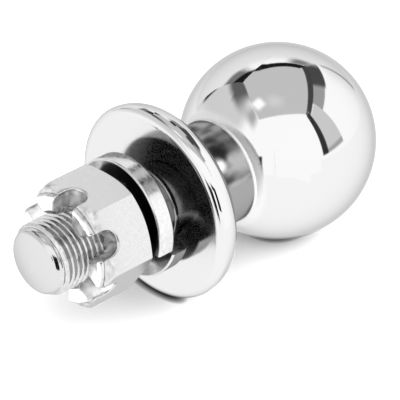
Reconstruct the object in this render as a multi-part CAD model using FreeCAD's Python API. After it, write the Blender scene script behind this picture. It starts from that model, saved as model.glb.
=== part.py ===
import FreeCAD, Part
import math
import os

# Chrome trailer hitch ball lying on its side: ball stud, split lock washer and slotted hex nut.
# Row frame in mm: +X runs along the shank towards the ball, +Z is up, and the origin is the
# centre of the flange's seat face. Angles are turned about +X from +Z.

V = FreeCAD.Vector

# Ball, neck and flange
BALL_R = 25.4
BALL_X = 44.5
POLE_FLAT_R = 6.0
NECK_R = 13.7
NECK_FILLET = 4.5
NECK_BALL_FILLET = 0.7
SEAT_R = 23.0
FLANGE_R = 25.7
FRONT_EDGE_DEPTH = 1.9
RIM_LAND = 0.5
BACK_EDGE_R = 5.4

# Shank and its 3/4-16 UNF thread
SHANK_R = 9.45
SEAT_FILLET = 0.8
PLAIN_LENGTH = 8.6
PITCH = 25.4 / 16
MAJOR_R = 9.525
THREAD_ROOT_R = 8.6
THREAD_END_X = -35.6
DOG_R = 8.58
TIP_X = -39.3
TIP_DOME_R = 26.0
TIP_SHOULDER_R = 1.9
FLANK = math.tan(math.radians(30))

# Split lock washer
WASHER_FACE_X = -2.05
WASHER_T = 4.8
WASHER_RISE = 5.15
WASHER_R = 16.15
WASHER_BORE_R = 9.8
WASHER_EDGE = 0.5
WASHER_SPLIT_DEG = 103.4
WASHER_GAP_DEG = 7.0

# Slotted hex nut
NUT_FACE_X = -13.0
NUT_HEIGHT = 16.6
NUT_AF = 28.575
NUT_CORNER_DEG = -25.4
NUT_FACE_R = 13.7
NUT_CHAMFER_START = 12.6
NUT_CROWN_R = 13.1
NUT_CROWN_EDGE = 1.3
NUT_CROWN_BULGE = 0.45
NUT_BORE_R = 8.75
NUT_COUNTERSINK_R = 10.3
NUT_BACK_COUNTERSINK_R = 10.0
THREAD_CLEARANCE = 0.06
SLOT_W = 6.4
SLOT_DEPTH = 6.8
SLOT_EDGE = 0.5

THREAD_TURNS = 20
THREAD_START_X = -PLAIN_LENGTH - THREAD_TURNS * PITCH


def to_x(shape):
    # Turns a shape built along +Z so that it runs along +X.
    turned = shape.copy()
    turned.rotate(V(0, 0, 0), V(0, 1, 0), 90)
    return turned


def point(x, r):
    return V(x, 0, r)


def line(a, b):
    return Part.makeLine(point(*a), point(*b))


def arc(a, b, c):
    return Part.Arc(point(*a), point(*b), point(*c)).toShape()


def revolve(edges):
    face = Part.Face(Part.Wire(edges))
    return face.revolve(V(0, 0, 0), V(1, 0, 0), 360)


def arc_middle(centre, radius, start_deg, end_deg):
    a = math.radians((start_deg + end_deg) / 2)
    return (centre[0] + radius * math.cos(a), centre[1] + radius * math.sin(a))


def coil(profile, pitch, height, radius):
    # Sweeps a closed profile, drawn in the XZ plane, along a right-hand helix about +Z.
    helix = Part.makeHelix(pitch, height, radius)
    pipe = Part.BRepOffsetAPI.MakePipeShell(Part.Wire(helix.Edges))
    pipe.setBiNormalMode(V(0, 0, 1))
    pipe.add(profile)
    pipe.build()
    pipe.makeSolid()
    return pipe.shape()


def thread_tools(r_inner, w_inner, r_outer, w_outer, start_x, turns):
    # One solid for each turn of a thread that starts at start_x and runs towards +X.
    corners = [
        V(r_inner, 0, -w_inner / 2),
        V(r_outer, 0, -w_outer / 2),
        V(r_outer, 0, w_outer / 2),
        V(r_inner, 0, w_inner / 2),
        V(r_inner, 0, -w_inner / 2),
    ]
    one = to_x(coil(Part.makePolygon(corners), PITCH, PITCH, r_inner))
    tools = []
    for k in range(turns):
        tool = one.copy()
        tool.translate(V(start_x + k * PITCH, 0, 0))
        tools.append(tool)
    return tools


def groove_width(r):
    # Width of the external thread's groove at radius r, from the basic 60 degree profile.
    return PITCH * 7 / 8 - 2 * FLANK * (MAJOR_R - r)


def ridge_width(r):
    # Width of the external thread's ridge at radius r, with the running clearance added.
    return PITCH / 8 + 2 * FLANK * (MAJOR_R + THREAD_CLEARANCE - r)


def tip_edges():
    # Shallow spherical end with a tighter shoulder, tangent to the dog point.
    centre_x = TIP_X + TIP_DOME_R
    shoulder_r = DOG_R - TIP_SHOULDER_R
    reach = math.sqrt((TIP_DOME_R - TIP_SHOULDER_R) ** 2 - shoulder_r ** 2)
    shoulder_x = centre_x - reach
    turn = math.degrees(math.atan2(shoulder_r, reach))
    meet = arc_middle((centre_x, 0), TIP_DOME_R, 180 - turn, 180 - turn)
    dome_mid = arc_middle((centre_x, 0), TIP_DOME_R, 180, 180 - turn)
    shoulder_mid = arc_middle((shoulder_x, shoulder_r), TIP_SHOULDER_R, 180 - turn, 90)
    start_x = THREAD_END_X - (SHANK_R - DOG_R)
    return [
        arc((TIP_X, 0), dome_mid, meet),
        arc(meet, shoulder_mid, (shoulder_x, DOG_R)),
        line((shoulder_x, DOG_R), (start_x, DOG_R)),
        line((start_x, DOG_R), (THREAD_END_X, SHANK_R)),
    ]


def stud_blank():
    rim_x = FRONT_EDGE_DEPTH + RIM_LAND
    back_x = rim_x + BACK_EDGE_R
    neck_x = back_x + NECK_FILLET
    joint_x = BALL_X - math.sqrt(BALL_R ** 2 - NECK_R ** 2)
    pole_x = BALL_X + math.sqrt(BALL_R ** 2 - POLE_FLAT_R ** 2)
    front_mid = (FRONT_EDGE_DEPTH * 0.3, SEAT_R + (FLANGE_R - SEAT_R) * 0.72)
    back_mid = arc_middle((rim_x, FLANGE_R - BACK_EDGE_R), BACK_EDGE_R, 90, 0)
    neck_mid = arc_middle((neck_x, NECK_R + NECK_FILLET), NECK_FILLET, 180, 270)
    edges = tip_edges() + [
        line((THREAD_END_X, SHANK_R), (0, SHANK_R)),
        line((0, SHANK_R), (0, SEAT_R)),
        arc((0, SEAT_R), front_mid, (FRONT_EDGE_DEPTH, FLANGE_R)),
        line((FRONT_EDGE_DEPTH, FLANGE_R), (rim_x, FLANGE_R)),
        arc((rim_x, FLANGE_R), back_mid, (back_x, FLANGE_R - BACK_EDGE_R)),
        line((back_x, FLANGE_R - BACK_EDGE_R), (back_x, NECK_R + NECK_FILLET)),
        arc((back_x, NECK_R + NECK_FILLET), neck_mid, (neck_x, NECK_R)),
        line((neck_x, NECK_R), (joint_x, NECK_R)),
        arc((joint_x, NECK_R), (BALL_X, BALL_R), (pole_x, POLE_FLAT_R)),
        line((pole_x, POLE_FLAT_R), (pole_x, 0)),
        line((pole_x, 0), (TIP_X, 0)),
    ]
    return revolve(edges)


def circle_edges(shape, x, r):
    found = []
    for edge in shape.Edges:
        if not edge.Degenerated:
            box = edge.BoundBox
            if box.XLength < 0.01 and abs(box.XMin - x) < 0.01 and abs(box.ZMax - r) < 0.01:
                found.append(edge)
    return found


def make_ball_stud():
    blank = stud_blank()
    joint_x = BALL_X - math.sqrt(BALL_R ** 2 - NECK_R ** 2)
    blank = blank.makeFillet(NECK_BALL_FILLET, circle_edges(blank, joint_x, NECK_R))
    blank = blank.makeFillet(SEAT_FILLET, circle_edges(blank, 0, SHANK_R))
    r_out = MAJOR_R + 0.09
    tools = thread_tools(
        THREAD_ROOT_R, groove_width(THREAD_ROOT_R), r_out, groove_width(r_out),
        THREAD_START_X, THREAD_TURNS)
    return blank.cut(tools).Solids[0]


def make_lock_washer():
    e = WASHER_EDGE
    q = e * (1 - math.sqrt(0.5))
    r0 = WASHER_BORE_R
    r1 = WASHER_R
    t = WASHER_T
    lines = [
        Part.makeLine(V(r0, 0, 0), V(r1 - e, 0, 0)),
        Part.Arc(V(r1 - e, 0, 0), V(r1 - q, 0, q), V(r1, 0, e)).toShape(),
        Part.makeLine(V(r1, 0, e), V(r1, 0, t - e)),
        Part.Arc(V(r1, 0, t - e), V(r1 - q, 0, t - q), V(r1 - e, 0, t)).toShape(),
        Part.makeLine(V(r1 - e, 0, t), V(r0, 0, t)),
        Part.makeLine(V(r0, 0, t), V(r0, 0, 0)),
    ]
    turn = (360 - WASHER_GAP_DEG) / 360
    ring = coil(Part.Wire(lines), WASHER_RISE / turn, WASHER_RISE, r0)
    ring = ring.mirror(V(0, 0, 0), V(0, 0, 1))
    ring.rotate(V(0, 0, 0), V(0, 0, 1), WASHER_SPLIT_DEG + WASHER_GAP_DEG / 2 - 180)
    ring.translate(V(0, 0, WASHER_FACE_X))
    return to_x(ring)


def nut_envelope():
    corner_r = NUT_AF / math.sqrt(3)
    chamfer = (corner_r - NUT_FACE_R) * FLANK
    face = NUT_FACE_X
    top = NUT_FACE_X - NUT_HEIGHT
    start = NUT_FACE_X - NUT_CHAMFER_START
    shoulder = (top + NUT_CROWN_EDGE, NUT_CROWN_R + NUT_CROWN_EDGE)
    bulge = NUT_CROWN_BULGE
    crown_mid = ((start + shoulder[0]) / 2 - bulge, (corner_r + shoulder[1]) / 2 + bulge)
    edge_mid = arc_middle((top + NUT_CROWN_EDGE, NUT_CROWN_R), NUT_CROWN_EDGE, 90, 180)
    edges = [
        line((face, 0), (face, NUT_FACE_R)),
        line((face, NUT_FACE_R), (face - chamfer, corner_r)),
        line((face - chamfer, corner_r), (start, corner_r)),
        arc((start, corner_r), crown_mid, shoulder),
        arc(shoulder, edge_mid, (top, NUT_CROWN_R)),
        line((top, NUT_CROWN_R), (top, 0)),
        line((top, 0), (face, 0)),
    ]
    return revolve(edges)


def hex_prism():
    corner_r = NUT_AF / math.sqrt(3)
    points = []
    for k in range(7):
        a = math.radians(NUT_CORNER_DEG + 60 * k)
        points.append(V(NUT_FACE_X, -corner_r * math.sin(a), corner_r * math.cos(a)))
    face = Part.Face(Part.makePolygon(points))
    return face.extrude(V(-NUT_HEIGHT, 0, 0))


def slot_cutter(deg):
    top = NUT_FACE_X - NUT_HEIGHT
    end_x = top + SLOT_DEPTH - SLOT_W / 2
    box = Part.makeBox(end_x - top + 2, SLOT_W, 20, V(top - 2, -SLOT_W / 2, 4))
    end = Part.makeCylinder(SLOT_W / 2, 20, V(end_x, 0, 4), V(0, 0, 1))
    cutter = box.fuse(end).removeSplitter()
    cutter.rotate(V(0, 0, 0), V(1, 0, 0), deg)
    return cutter


def slot_rim_edges(shape):
    # Edges where the slots meet the flats, the crown and the top face.
    end_x = NUT_FACE_X - NUT_HEIGHT + SLOT_DEPTH - SLOT_W / 2
    found = []
    for edge in shape.Edges:
        mid = edge.valueAt((edge.FirstParameter + edge.LastParameter) / 2)
        for k in range(6):
            a = math.radians(NUT_CORNER_DEG + 30 + 60 * k)
            side = abs(mid.y * math.cos(a) + mid.z * math.sin(a))
            out = -mid.y * math.sin(a) + mid.z * math.cos(a)
            on_flat = abs(out - NUT_AF / 2) < 0.01 and side < SLOT_W / 2 + 0.01
            on_crown = out > 8 and abs(side - SLOT_W / 2) < 0.01 and mid.x < end_x - 1
            if mid.x < NUT_FACE_X - 3 and (on_flat or on_crown):
                found.append(edge)
    return found


def make_castle_nut():
    nut = nut_envelope().common(hex_prism()).Solids[0]
    for k in range(6):
        nut = nut.cut(slot_cutter(NUT_CORNER_DEG + 30 + 60 * k))
    nut = nut.makeFillet(SLOT_EDGE, slot_rim_edges(nut))
    top = NUT_FACE_X - NUT_HEIGHT
    depth = NUT_COUNTERSINK_R - NUT_BORE_R
    back = NUT_BACK_COUNTERSINK_R - NUT_BORE_R
    bore = [
        line((top - 1, 0), (top - 1, NUT_COUNTERSINK_R)),
        line((top - 1, NUT_COUNTERSINK_R), (top, NUT_COUNTERSINK_R)),
        line((top, NUT_COUNTERSINK_R), (top + depth, NUT_BORE_R)),
        line((top + depth, NUT_BORE_R), (NUT_FACE_X - back, NUT_BORE_R)),
        line((NUT_FACE_X - back, NUT_BORE_R), (NUT_FACE_X, NUT_BACK_COUNTERSINK_R)),
        line((NUT_FACE_X, NUT_BACK_COUNTERSINK_R), (NUT_FACE_X + 1, NUT_BACK_COUNTERSINK_R)),
        line((NUT_FACE_X + 1, NUT_BACK_COUNTERSINK_R), (NUT_FACE_X + 1, 0)),
        line((NUT_FACE_X + 1, 0), (top - 1, 0)),
    ]
    nut = nut.cut(revolve(bore))
    skipped = math.floor((top - 1 - THREAD_START_X) / PITCH - 0.5)
    start_x = THREAD_START_X + (skipped + 0.5) * PITCH
    turns = math.ceil((NUT_FACE_X + 1 - start_x) / PITCH)
    r_in = NUT_BORE_R - 0.2
    r_out = MAJOR_R + THREAD_CLEARANCE
    tools = thread_tools(r_in, ridge_width(r_in), r_out, ridge_width(r_out), start_x, turns)
    return nut.cut(tools).Solids[0]


def main():
    os.makedirs("parts", exist_ok=True)
    make_ball_stud().exportStep("parts/ball_stud.step")
    make_lock_washer().exportStep("parts/lock_washer.step")
    make_castle_nut().exportStep("parts/castle_nut.step")


main()
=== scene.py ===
import math

import bpy
from mathutils import Matrix, Vector


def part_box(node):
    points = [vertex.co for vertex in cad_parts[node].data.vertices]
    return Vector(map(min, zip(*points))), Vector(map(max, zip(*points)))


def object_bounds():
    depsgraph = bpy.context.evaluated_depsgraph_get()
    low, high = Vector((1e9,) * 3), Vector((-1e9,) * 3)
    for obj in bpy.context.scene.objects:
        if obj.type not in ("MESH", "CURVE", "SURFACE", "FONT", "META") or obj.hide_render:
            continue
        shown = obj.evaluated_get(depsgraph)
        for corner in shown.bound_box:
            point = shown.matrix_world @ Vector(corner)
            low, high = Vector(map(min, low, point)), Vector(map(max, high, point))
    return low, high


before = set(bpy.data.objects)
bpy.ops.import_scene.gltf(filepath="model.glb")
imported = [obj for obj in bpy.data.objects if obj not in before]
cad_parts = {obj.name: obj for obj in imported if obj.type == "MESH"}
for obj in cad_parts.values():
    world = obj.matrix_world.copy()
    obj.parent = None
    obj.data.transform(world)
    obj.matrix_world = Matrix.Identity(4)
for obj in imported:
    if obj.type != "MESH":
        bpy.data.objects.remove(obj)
CAD_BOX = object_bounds()

# ---- places on the part, in metres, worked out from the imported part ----
POLE_REACH = 0.0247    # from the ball's centre to the flat on its far pole
TIP_SHOULDER = 0.002   # from the shank's end to the widest point of its rounded tip
STUD_LOW, STUD_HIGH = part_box("ball_stud")
NUT_LOW, NUT_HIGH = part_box("castle_nut")
BALL = Vector((STUD_HIGH.x - POLE_REACH, 0.0, 0.0))
TIP = Vector((STUD_LOW.x + TIP_SHOULDER, 0.0, 0.0))
NUT = (NUT_LOW + NUT_HIGH) / 2

# ---- camera: degrees and metres from the ball ----
CAMERA_AZIMUTH = -43.92
CAMERA_ELEVATION = 32.07
CAMERA_DISTANCE = 0.767
CAMERA_RIGHT = -0.01975
CAMERA_UP = -0.01523
CAMERA_LENS = 270.0
VIEW_GAMMA = 0.85

# ---- greys: how bright things look in the chrome, from 0 black to 1 white ----
WALL_GREY = 0.975
FLOOR_GREY = 0.955
ROOF_GREY = 0.745

# ---- floor and soft light ----
FLOOR_Z = CAD_BOX[0].z
FLOOR_HALF = 6.0
FLOOR_ALBEDO = 0.85
FLOOR_EXPOSURE = 0.98  # the share of the floor's lit brightness that the camera sees
KEY_AZIMUTH = 15.0     # the side that the soft light is strongest from
KEY_SHARE = 0.8        # how much stronger than the mean it is there
PAINTED_CONTACT_SHADOW_REACH = 0.0018  # how far the painted contact shadow beside a contact reaches
PAINTED_CONTACT_SHADOW_POWER = 1.6    # a higher power makes that painted shadow darker
MIRROR_PAINTED_SHADE_REACH = 0.005   # how far the painted shade near a contact reaches in the floor's reflection
MIRROR_PAINTED_SHADE_EDGE = (0.10, 0.75)  # the open shares between which that painted shade fades out
MIRROR_PAINTED_SHADE_DARKEST = 0.06  # the share of the floor's grey that the painted shade leaves in its darkest place

# ---- tent: degrees of azimuth for the walls, metres for the rest ----
RIGHT_WALL = 55
BACK_WALL = 148
LEFT_WALL = -130
CARD_DISTANCE = 3.0
LAYER_GAP = 0.05
ROOF_HEIGHT = 3.0
FOLD_DISTANCE = 2.7
NEAR_DISTANCE = 0.065
LENS_DISTANCE = 0.0455

# ---- plating ----
CHROME = 0.50          # the share of light that the plating mirrors head on
EDGE_TINT = 0.54       # how much of the usual glare the plating keeps at its outline
TURNING = 0.85         # how strongly the turning marks smear the reflections
MOTTLE = (0.30, 0.70)  # the span of a noise's values that is spread over its whole range

# ---- zones of the stud, each edge a span in metres along the axis (X) or out from it (R) ----
NECK_EDGE_R = (0.0142, 0.0148)
NECK_END_X = (0.0224, 0.0232)
NECK_START_X = (0.002, 0.004)
ROOT_EDGE_R = (0.0146, 0.0164)
ROOT_START_X = (0.0222, 0.0230)
ROOT_END_X = (0.0300, 0.0340)
FACE_X = (0.0002, 0.0008)
SHANK_EDGE_R = (0.0096, 0.0100)
THREAD_START_X = (-0.0100, -0.0080)
TIP_START_X = (-0.0374, -0.0366)
# the neck is plain below this height and darker above it: painted shade on its top side
UNDER_NECK_Z = (0.0036, 0.0046)
PAINTED_HIGHLIGHT_SPOT = (0.0143, -0.0098, 0.0095)   # the middle of a painted highlight spot on the neck
PAINTED_HIGHLIGHT_RADII = (0.0006, 0.0028)

# ---- zones of the washer and the nut ----
WASHER_EDGE_R = (0.0155, 0.0160)
SEAT_SIDE_NORMAL = (0.2, 0.7)
CROWN_X = (-0.0272, -0.0252)
NUT_INSIDE_R = (0.0134, 0.0142)
NUT_SEAT_X = (-0.0133, -0.0131)


def direction(azimuth, elevation):
    """The unit vector towards an azimuth and elevation; azimuth 0 is the -Y side."""
    a, e = math.radians(azimuth), math.radians(elevation)
    return Vector((math.sin(a) * math.cos(e), -math.cos(a) * math.cos(e), math.sin(e)))


def shown(grey):
    """The brightness of a card that looks this grey, from 0 to 1 on screen, in the chrome."""
    linear = grey / 12.92 if grey < 0.04 else ((grey + 0.055) / 1.055) ** 2.4
    return linear ** VIEW_GAMMA / CHROME


def make_camera():
    back = direction(CAMERA_AZIMUTH, CAMERA_ELEVATION)
    right = direction(CAMERA_AZIMUTH + 90, 0)
    up = back.cross(right)
    data = bpy.data.cameras.new("camera")
    data.lens = CAMERA_LENS
    data.clip_start, data.clip_end = 0.05, 50.0
    camera = bpy.data.objects.new("camera", data)
    place = BALL + back * CAMERA_DISTANCE + right * CAMERA_RIGHT + up * CAMERA_UP
    turn = Matrix((right, up, back)).transposed().to_4x4()
    camera.matrix_world = Matrix.Translation(place) @ turn
    bpy.context.scene.collection.objects.link(camera)
    bpy.context.scene.camera = camera


# ---- node helpers: a value may be a number or a socket ----
def feed(nt, socket, value):
    if isinstance(value, (int, float)):
        socket.default_value = value
    else:
        nt.links.new(value, socket)


def calc(nt, operation, a, b):
    node = nt.nodes.new("ShaderNodeMath")
    node.operation = operation
    feed(nt, node.inputs[0], a)
    feed(nt, node.inputs[1], b)
    return node.outputs[0]


def blend(nt, amount, first, second):
    node = nt.nodes.new("ShaderNodeMix")
    feed(nt, node.inputs[0], amount)
    feed(nt, node.inputs[2], first)
    feed(nt, node.inputs[3], second)
    return node.outputs[0]


def mix_shaders(nt, amount, first, second):
    node = nt.nodes.new("ShaderNodeMixShader")
    feed(nt, node.inputs[0], amount)
    nt.links.new(first, node.inputs[1])
    nt.links.new(second, node.inputs[2])
    return node.outputs[0]


def rise(nt, value, low, high, bottom=0.0, top=1.0):
    """Goes smoothly from bottom to top while value goes from low to high."""
    node = nt.nodes.new("ShaderNodeMapRange")
    node.interpolation_type = "SMOOTHSTEP"
    feed(nt, node.inputs["Value"], value)
    node.inputs["From Min"].default_value = low
    node.inputs["From Max"].default_value = high
    node.inputs["To Min"].default_value = bottom
    node.inputs["To Max"].default_value = top
    return node.outputs[0]


def above(nt, value, edge):
    """0 below the span edge, 1 above it."""
    return rise(nt, value, *edge)


def below(nt, value, edge):
    """1 below the span edge, 0 above it."""
    return rise(nt, value, *edge, 1.0, 0.0)


def all_of(nt, first, *others):
    """The zone that all these zones share."""
    for other in others:
        first = calc(nt, "MULTIPLY", first, other)
    return first


def separate(nt, vector):
    node = nt.nodes.new("ShaderNodeSeparateXYZ")
    nt.links.new(vector, node.inputs[0])
    return node.outputs


def vector_math(nt, operation, vector, constant):
    node = nt.nodes.new("ShaderNodeVectorMath")
    node.operation = operation
    nt.links.new(vector, node.inputs[0])
    node.inputs[1].default_value = constant
    return node.outputs


# ---- world, floor and the tent that the chrome mirrors ----
def make_world():
    """Pale walls that the camera and the chrome see, and a soft dome that lights the floor. The
    walls are past white to the camera."""
    world = bpy.data.worlds.new("tent")
    bpy.context.scene.world = world
    world.use_nodes = True
    nt = world.node_tree
    nt.nodes.clear()
    walls = nt.nodes.new("ShaderNodeBackground")
    walls.inputs["Color"].default_value = (1, 1, 1, 1)
    walls.inputs["Strength"].default_value = shown(WALL_GREY)
    dome = nt.nodes.new("ShaderNodeBackground")
    dome.inputs["Color"].default_value = (1, 1, 1, 1)
    level = shown(FLOOR_GREY) / FLOOR_ALBEDO
    towards = nt.nodes.new("ShaderNodeTexCoord").outputs["Generated"]
    key = vector_math(nt, "DOT_PRODUCT", towards, direction(KEY_AZIMUTH, 0))["Value"]
    slope = calc(nt, "MULTIPLY", key, KEY_SHARE * level)
    nt.links.new(calc(nt, "ADD", slope, level), dome.inputs["Strength"])
    path = nt.nodes.new("ShaderNodeLightPath").outputs
    seen = calc(nt, "MAXIMUM", path["Is Camera Ray"], path["Is Glossy Ray"])
    out = nt.nodes.new("ShaderNodeOutputWorld")
    nt.links.new(mix_shaders(nt, seen, dome.outputs[0], walls.outputs[0]), out.inputs["Surface"])


def open_share(nt, reach):
    """1 in the open, falling to 0 where the part stands closer than reach metres."""
    node = nt.nodes.new("ShaderNodeAmbientOcclusion")
    node.inputs["Distance"].default_value = reach
    return node.outputs["AO"]


def floor_material():
    """Pale and matt. The camera sees it lit past white, apart from a painted contact shadow beside a
    contact.
    Mirror rays see an even glow darkened by painted shade near the part, and all other rays see it plainly
    lit."""
    mat = bpy.data.materials.new("floor")
    mat.use_nodes = True
    mat.cycles.emission_sampling = "NONE"
    nt = mat.node_tree
    nt.nodes.clear()
    lit = nt.nodes.new("ShaderNodeBsdfDiffuse")
    lit.inputs["Color"].default_value = (FLOOR_ALBEDO, FLOOR_ALBEDO, FLOOR_ALBEDO, 1)
    bright = nt.nodes.new("ShaderNodeBsdfDiffuse")
    # painted contact shadow: the floor's colour is darkened where the part stands close
    painted_contact_shadow = calc(nt, "POWER", open_share(nt, PAINTED_CONTACT_SHADOW_REACH), PAINTED_CONTACT_SHADOW_POWER)
    nt.links.new(calc(nt, "MULTIPLY", painted_contact_shadow, FLOOR_ALBEDO * FLOOR_EXPOSURE), bright.inputs["Color"])
    glow = nt.nodes.new("ShaderNodeEmission")
    # painted shade: the floor's glow, as mirrors see it, is darkened near the part
    mirror_painted_shade = rise(nt, open_share(nt, MIRROR_PAINTED_SHADE_REACH), *MIRROR_PAINTED_SHADE_EDGE, MIRROR_PAINTED_SHADE_DARKEST, 1.0)
    nt.links.new(calc(nt, "MULTIPLY", mirror_painted_shade, shown(FLOOR_GREY)), glow.inputs["Strength"])
    path = nt.nodes.new("ShaderNodeLightPath").outputs
    mirrored = mix_shaders(nt, path["Is Glossy Ray"], lit.outputs[0], glow.outputs[0])
    seen = mix_shaders(nt, path["Is Camera Ray"], mirrored, bright.outputs[0])
    out = nt.nodes.new("ShaderNodeOutputMaterial")
    nt.links.new(seen, out.inputs["Surface"])
    return mat


def make_floor():
    mesh = bpy.data.meshes.new("floor")
    corners = [(x * FLOOR_HALF, y * FLOOR_HALF, FLOOR_Z) for x, y in ((-1, -1), (1, -1), (1, 1), (-1, 1))]
    mesh.from_pydata(corners, [], [(0, 1, 2, 3)])
    mesh.materials.append(floor_material())
    floor = bpy.data.objects.new("floor", mesh)
    bpy.context.scene.collection.objects.link(floor)


def card_material(name, brightness, soft):
    """Plain cloth that fades out over the share soft of its width and of its height at each edge."""
    mat = bpy.data.materials.new(name)
    mat.use_nodes = True
    mat.cycles.emission_sampling = "NONE"
    nt = mat.node_tree
    nt.nodes.clear()
    glow = nt.nodes.new("ShaderNodeEmission")
    glow.inputs["Strength"].default_value = brightness
    clear = nt.nodes.new("ShaderNodeBsdfTransparent")
    coords = nt.nodes.new("ShaderNodeUVMap")
    coords.uv_map = "edge"
    across = separate(nt, coords.outputs[0])
    fades = []
    for axis, share in zip("XY", soft):
        from_edge = calc(nt, "PINGPONG", across[axis], 0.5)
        fades.append(rise(nt, from_edge, 0.0, max(share, 0.001)))
    out = nt.nodes.new("ShaderNodeOutputMaterial")
    cloth = mix_shaders(nt, all_of(nt, *fades), clear.outputs[0], glow.outputs[0])
    nt.links.new(cloth, out.inputs["Surface"])
    return mat


def card(name, corners, grey, soft):
    """A four-cornered card that only mirrors see: not the camera, not the floor."""
    mesh = bpy.data.meshes.new(name)
    mesh.from_pydata(corners, [], [(0, 1, 2, 3)])
    layer = mesh.uv_layers.new(name="edge")
    for loop, uv in zip(layer.data, ((0, 0), (1, 0), (1, 1), (0, 1))):
        loop.uv = uv
    mesh.materials.append(card_material(name, shown(grey), soft))
    made = bpy.data.objects.new(name, mesh)
    made.visible_camera = False
    made.visible_diffuse = False
    made.visible_shadow = False
    bpy.context.scene.collection.objects.link(made)


def wall_card(name, facing, left, right, bottom, top, grey, soft=(0.04, 0.1), layer=0, lean=0):
    """A card on the wall at azimuth facing. left and right are azimuths from the ball, and bottom
    and top are elevations at the wall's nearest point. A higher layer hangs further in, and the
    foot leans by lean degrees."""
    distance = CARD_DISTANCE - LAYER_GAP * layer
    forward = direction(facing, 0)
    side = direction(facing + 90, 0)
    corners = []
    for azimuth, elevation in ((left + lean, bottom), (right + lean, bottom), (right, top), (left, top)):
        across = math.tan(math.radians(azimuth - facing))
        height = math.tan(math.radians(elevation))
        corners.append(BALL + (forward + side * across + Vector((0, 0, height))) * distance)
    card(name, corners, grey, soft)


def facing_card(name, azimuth, elevation, half_width, half_height, grey, soft, distance, origin=BALL):
    """A card square to the line from origin, sized by the angles that it spans there."""
    forward = direction(azimuth, elevation)
    side = direction(azimuth + 90, 0)
    up = forward.cross(side)
    a = math.tan(math.radians(half_width)) * distance
    b = math.tan(math.radians(half_height)) * distance
    middle = origin + forward * distance
    corners = [middle + side * x * a + up * y * b for x, y in ((-1, -1), (1, -1), (1, 1), (-1, 1))]
    card(name, corners, grey, soft)


def make_roof():
    """The flat roof cloth. Each edge has an azimuth that it faces and an elevation from the ball."""
    edges = ((55, 59.5), (148, 55.0), (-126, 60.0), (-34, 59.0))
    lines = []
    for azimuth, elevation in edges:
        lines.append((direction(azimuth, 0), ROOF_HEIGHT / math.tan(math.radians(elevation))))
    corners = []
    for k in range(4):
        (n1, d1), (n2, d2) = lines[k], lines[(k + 1) % 4]
        det = n1.x * n2.y - n1.y * n2.x
        x = (d1 * n2.y - d2 * n1.y) / det
        y = (n1.x * d2 - n2.x * d1) / det
        corners.append(BALL + Vector((x, y, ROOF_HEIGHT)))
    card("roof", corners, ROOF_GREY, (0.03, 0.03))


def make_right_wall():
    wall_card("right_bar", RIGHT_WALL, 9, 110, 54, 61, 0.25, (0.01, 0.12), 1)
    wall_card("right_band_dark", RIGHT_WALL, 70, 110.5, 40, 58, 0.27, (0.16, 0.08))
    wall_card("right_band_grey", RIGHT_WALL, 34, 84, 41.5, 57, 0.60, (0.06, 0.08), -1)
    wall_card("opening_side", RIGHT_WALL, 7.5, 16.5, 3.5, 59, 0.18, (0.2, 0.03), 1)
    wall_card("opening", RIGHT_WALL, 13, 38.5, 3.5, 54.5, 0.78, (0.06, 0.06))
    wall_card("opening_foot", RIGHT_WALL, 13, 38.5, 3.5, 12, 0.62, (0.06, 0.4), 0.5)
    wall_card("right_shade", RIGHT_WALL, 80, 116, -20, 40, 0.90, (0.5, 0.3), -1)
    wall_card("seam", RIGHT_WALL, 104, 109, -8, 38, 0.62, (0.4, 0.1), 0, -10)


def make_back_wall():
    wall_card("back_bar", BACK_WALL, 108, 194, 48, 58, 0.08, (0.02, 0.16), 1)
    wall_card("back_shade_near", BACK_WALL, 104, 130, 34, 52, 0.50, (0.4, 0.4))
    wall_card("back_shade_far", BACK_WALL, 160, 200, 36, 52, 0.45, (0.3, 0.3))
    wall_card("back_shade", BACK_WALL, 100, 200, -40, 46, 0.90, (0.2, 0.2), -0.5)


def make_left_wall():
    wall_card("left_band", LEFT_WALL, -192, -104, 41, 64, 0.36, (0.35, 0.22))
    wall_card("left_band_end", LEFT_WALL, -124, -76, 44, 64, 0.66, (0.45, 0.4), -0.25)
    wall_card("left_shade", LEFT_WALL, -190, -90, -10, 60, 0.80, (0.2, 0.3), -0.5)
    wall_card("hook", LEFT_WALL, -177, -170, 9, 34, 0.20, (0.3, 0.3), 0, 5)


def make_tent_contents():
    """The lamp, the photographer's dark shape, and small screens that hide it from some pieces."""
    facing_card("lamp", -101, 65, 9.0, 8.0, 1.0, (0.35, 0.35), CARD_DISTANCE)
    facing_card("roof_fold", -60, 76, 14.0, 12.0, 0.81, (0.5, 0.5), FOLD_DISTANCE)
    facing_card("photographer", -26, 9, 23.0, 17.0, 0.03, (0.12, 0.12), CARD_DISTANCE)
    facing_card("stand", -73, 0, 5.5, 11.0, 0.04, (0.2, 0.2), CARD_DISTANCE)
    facing_card("screen", -25, 13, 22.0, 18.0, WALL_GREY, (0, 0), NEAR_DISTANCE)
    facing_card("nut_screen", 36, 8, 14.0, 14.0, WALL_GREY, (0, 0), NEAR_DISTANCE, NUT)
    facing_card("slot_screen", -26, 9, 16.0, 17.0, WALL_GREY, (0, 0), NEAR_DISTANCE, NUT)
    facing_card("lens", -26, 9, 25.0, 22.0, 0.03, (0.1, 0.1), LENS_DISTANCE, TIP)


# ---- materials: plating whose shade, gloss and texture change from zone to zone, with painted light and shade in some zones ----
def noise(nt, place, grain, detail=2.0, stretch=(1, 1, 1)):
    """Noise from 0 to 1 whose blotches are about grain metres across, stretched along the axes."""
    node = nt.nodes.new("ShaderNodeTexNoise")
    node.inputs["Scale"].default_value = 1.0 / grain
    node.inputs["Detail"].default_value = detail
    nt.links.new(vector_math(nt, "DIVIDE", place, stretch)["Vector"], node.inputs["Vector"])
    return node.outputs[0]


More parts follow.
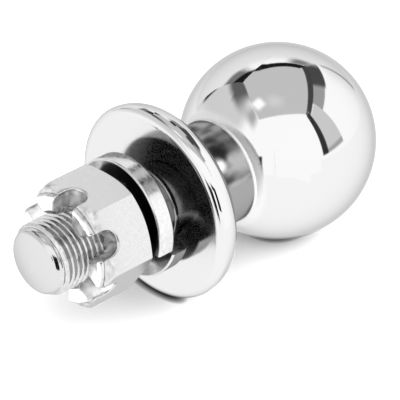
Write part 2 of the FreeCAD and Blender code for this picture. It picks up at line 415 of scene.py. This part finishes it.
def spot(nt, place, centre, inner, outer):
    """1 within inner metres of centre, fading to 0 at outer."""
    return below(nt, vector_math(nt, "DISTANCE", place, centre)["Value"], (inner, outer))


def radius_from_axis(nt, place):
    side = separate(nt, place)
    across = nt.nodes.new("ShaderNodeCombineXYZ")
    nt.links.new(side["Y"], across.inputs["Y"])
    nt.links.new(side["Z"], across.inputs["Z"])
    length = nt.nodes.new("ShaderNodeVectorMath")
    length.operation = "LENGTH"
    nt.links.new(across.outputs[0], length.inputs[0])
    return length.outputs["Value"]


def start_plating(name):
    """A new metal material, its node tree, and the place on the part in metres."""
    mat = bpy.data.materials.new(name)
    mat.use_nodes = True
    nt = mat.node_tree
    bsdf = nt.nodes["Principled BSDF"]
    bsdf.inputs["Metallic"].default_value = 1.0
    bsdf.inputs["Specular Tint"].default_value = (EDGE_TINT, EDGE_TINT, EDGE_TINT, 1)
    return mat, nt, nt.nodes.new("ShaderNodeTexCoord").outputs["Object"]


def turn_round_axis(nt):
    """Turning marks run round the part's axis and smear the reflections across themselves."""
    around = nt.nodes.new("ShaderNodeTangent")
    around.direction_type = "RADIAL"
    around.axis = "X"
    bsdf = nt.nodes["Principled BSDF"]
    bsdf.inputs["Anisotropic"].default_value = TURNING
    nt.links.new(around.outputs[0], bsdf.inputs["Tangent"])


def finish_plating(nt, shade, roughness, height):
    """Height is in metres."""
    bsdf = nt.nodes["Principled BSDF"]
    bump = nt.nodes.new("ShaderNodeBump")
    bump.inputs["Distance"].default_value = 1.0
    nt.links.new(height, bump.inputs["Height"])
    nt.links.new(bump.outputs[0], bsdf.inputs["Normal"])
    nt.links.new(shade, bsdf.inputs["Base Color"])
    nt.links.new(roughness, bsdf.inputs["Roughness"])


def neck_tone_and_painted_light(nt, place):
    """Mottled and darker above, plain below, with one bright spot. The darker top is painted shade over a
    random mottle, and the spot is a painted highlight.
    """
    mottle_and_painted_shade = rise(nt, noise(nt, place, 0.006, 2.0, (2.0, 1, 1)), 0.36, 0.60)
    under = below(nt, separate(nt, place)["Z"], UNDER_NECK_Z)
    # painted shade: the top of the neck is darker than its underside
    shade = blend(nt, under, blend(nt, mottle_and_painted_shade, 0.05, 0.30), 0.25)
    # painted highlight: a bright spot on the neck
    return blend(nt, spot(nt, place, PAINTED_HIGHLIGHT_SPOT, *PAINTED_HIGHLIGHT_RADII), shade, 0.60)


def stud_zones(nt, place):
    """How much each place belongs to each zone, from 0 to 1. The polished ball is what is left."""
    along = separate(nt, place)["X"]
    radius = radius_from_axis(nt, place)
    slim = below(nt, radius, NECK_EDGE_R)
    corner = all_of(nt, above(nt, along, ROOT_START_X), below(nt, along, ROOT_END_X))
    face = below(nt, along, FACE_X)
    shank = all_of(nt, face, below(nt, radius, SHANK_EDGE_R))
    return {
        "neck": all_of(nt, slim, below(nt, along, NECK_END_X), above(nt, along, NECK_START_X)),
        "root": all_of(nt, below(nt, radius, ROOT_EDGE_R), corner),
        "face": face,
        "shank": shank,
        "thread": all_of(nt, shank, below(nt, along, THREAD_START_X)),
        "tip": below(nt, along, TIP_START_X),
    }


def stud_shade(nt, place, zone, fine):
    shade = blend(nt, zone["neck"], CHROME, neck_tone_and_painted_light(nt, place))
    shade = blend(nt, zone["root"], shade, 0.54)
    shade = blend(nt, zone["face"], shade, 0.50)
    # painted shade: the plain shank in the gap between the flange and the washer is darkened
    shade = blend(nt, zone["shank"], shade, 0.24)
    shade = blend(nt, zone["thread"], shade, blend(nt, fine, 0.36, 0.56))
    return blend(nt, zone["tip"], shade, 0.45)


def stud_roughness(nt, zone, clouds, fine):
    neck = blend(nt, clouds, 0.20, 0.15)
    rough = blend(nt, zone["neck"], rise(nt, fine, *MOTTLE, 0.025, 0.05), neck)
    rough = blend(nt, zone["root"], rough, 0.35)
    rough = blend(nt, zone["face"], rough, rise(nt, fine, *MOTTLE, 0.13, 0.16))
    rough = blend(nt, zone["shank"], rough, 0.13)
    return blend(nt, zone["tip"], rough, blend(nt, clouds, 0.05, 0.10))


def stud_height(nt, place, zone, clouds, fine):
    waves = noise(nt, place, 0.022, 1.0)
    height = calc(nt, "MULTIPLY", waves, 6e-5)
    height = blend(nt, zone["neck"], height, calc(nt, "MULTIPLY", clouds, 6e-5))
    height = blend(nt, zone["face"], height, calc(nt, "MULTIPLY", waves, 3e-5))
    return blend(nt, zone["shank"], height, calc(nt, "MULTIPLY", fine, 1.2e-5))


def stud_plating():
    mat, nt, place = start_plating("ball_stud_chrome")
    turn_round_axis(nt)
    zone = stud_zones(nt, place)
    clouds = above(nt, noise(nt, place, 0.009, 1.5), MOTTLE)
    fine = noise(nt, place, 0.0008, 3.0)
    shade = stud_shade(nt, place, zone, fine)
    rough = stud_roughness(nt, zone, clouds, fine)
    height = stud_height(nt, place, zone, clouds, fine)
    finish_plating(nt, shade, rough, height)
    return mat


def washer_plating():
    mat, nt, place = start_plating("lock_washer_chrome")
    turn_round_axis(nt)
    outside = above(nt, radius_from_axis(nt, place), WASHER_EDGE_R)
    facing = separate(nt, nt.nodes.new("ShaderNodeTexCoord").outputs["Normal"])
    seat_side = above(nt, facing["X"], SEAT_SIDE_NORMAL)
    clouds = noise(nt, place, 0.004, 3.0)
    fine = noise(nt, place, 0.0009, 3.0)
    # painted shade: both flat faces, against the nut and facing the flange, are darker than the outside;
    # the clouds on the seat side are random tone
    flat = blend(nt, seat_side, rise(nt, clouds, 0.35, 0.7, 0.20, 0.36), 0.22)
    shade = blend(nt, outside, flat, blend(nt, fine, 0.42, 0.58))
    rough = blend(nt, outside, 0.12, rise(nt, fine, *MOTTLE, 0.10, 0.20))
    height = calc(nt, "ADD", calc(nt, "MULTIPLY", clouds, 5e-5), calc(nt, "MULTIPLY", fine, 8e-6))
    finish_plating(nt, shade, rough, height)
    return mat


def nut_plating():
    mat, nt, place = start_plating("castle_nut_chrome")
    along = separate(nt, place)["X"]
    crown = below(nt, along, CROWN_X)
    inside = below(nt, radius_from_axis(nt, place), NUT_INSIDE_R)
    seat = above(nt, along, NUT_SEAT_X)
    rough_zone = calc(nt, "MAXIMUM", crown, inside)
    blotches = rise(nt, noise(nt, place, 0.0020, 3.0), 0.32, 0.68)
    fine = noise(nt, place, 0.0006, 3.0)
    shade = blend(nt, crown, rise(nt, fine, *MOTTLE, 0.43, 0.46), blend(nt, blotches, 0.36, 0.50))
    # painted light: the inside of the slots and the bore is made brighter than the plating can mirror
    shade = blend(nt, inside, shade, blend(nt, blotches, 0.80, 1.00))
    # painted shade: the nut's seat face against the washer is dark
    shade = blend(nt, seat, shade, 0.14)
    rough = blend(nt, crown, rise(nt, fine, *MOTTLE, 0.20, 0.26), blend(nt, blotches, 0.16, 0.28))
    rough = blend(nt, inside, rough, blend(nt, blotches, 0.28, 0.44))
    height = blend(nt, rough_zone, calc(nt, "MULTIPLY", fine, 2e-6), calc(nt, "MULTIPLY", blotches, 3.5e-5))
    finish_plating(nt, shade, rough, height)
    return mat


make_camera()
make_world()
make_roof()
make_right_wall()
make_back_wall()
make_left_wall()
make_tent_contents()
make_floor()
PLATING = {"ball_stud": stud_plating, "lock_washer": washer_plating, "castle_nut": nut_plating}
for name, plating in PLATING.items():
    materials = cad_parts[name].data.materials
    materials.clear()
    materials.append(plating())
bpy.context.scene.view_settings.view_transform = "Standard"
bpy.context.scene.view_settings.gamma = VIEW_GAMMA
